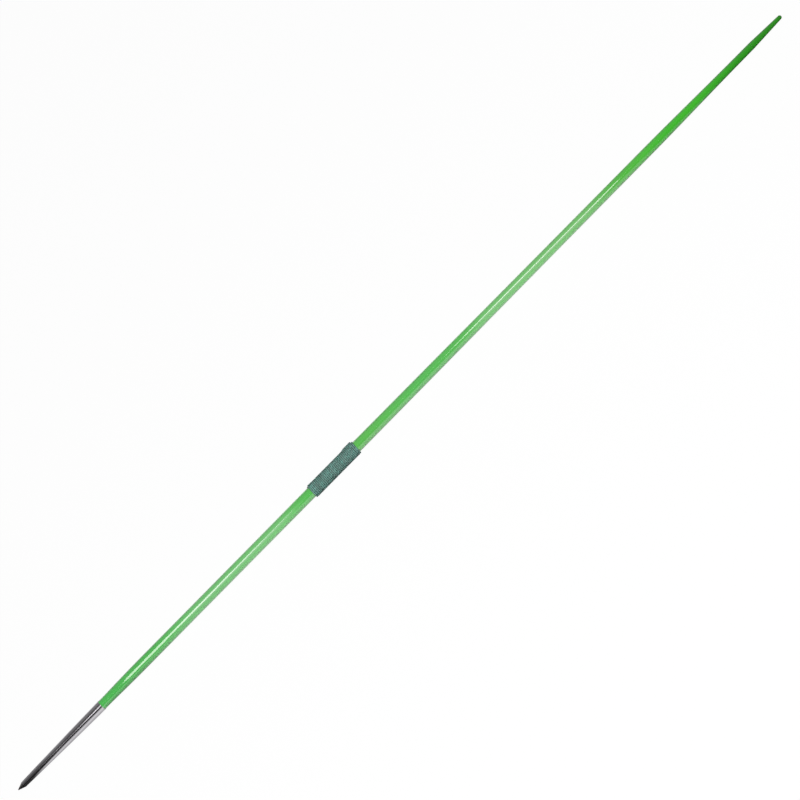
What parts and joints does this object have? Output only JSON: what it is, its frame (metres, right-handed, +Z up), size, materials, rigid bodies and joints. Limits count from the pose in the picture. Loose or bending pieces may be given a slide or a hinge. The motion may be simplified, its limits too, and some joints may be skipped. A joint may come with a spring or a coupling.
{
  "type": "javelin",
  "caption": "Men's throwing javelin: tapered aluminium tube with a polished steel head, a cord-wound grip at the balance point and a slim turned tail.",
  "frame": {"origin": "on the floor halfway along the javelin, under its axis, with the javelin level on its grip", "axes": "+X along the shaft towards the point, +Z up, and +Y towards the side away from the cord's tucked ends"},
  "size_m": [2.61, 0.0371, 0.0367],
  "materials": {
    "point_steel": "satin",
    "polished_steel": "polished",
    "weight_steel": "matte",
    "green_coat": "gloss",
    "plug_aluminium": "satin",
    "cork": "matte",
    "green_tail": "gloss",
    "tape": "matte",
    "cord": "matte"
  },
  "bodies": {
    "root": {"head_point": "point_steel", "head_shell": "polished_steel", "nose_weight": "weight_steel", "shaft_tube": "green_coat", "front_plug": "plug_aluminium", "vibration_damper": "cork", "tail_cone": "green_tail", "trim_weight": "weight_steel", "grip_tape": "tape", "grip_cord": "cord"}
  },
  "joints": []
}
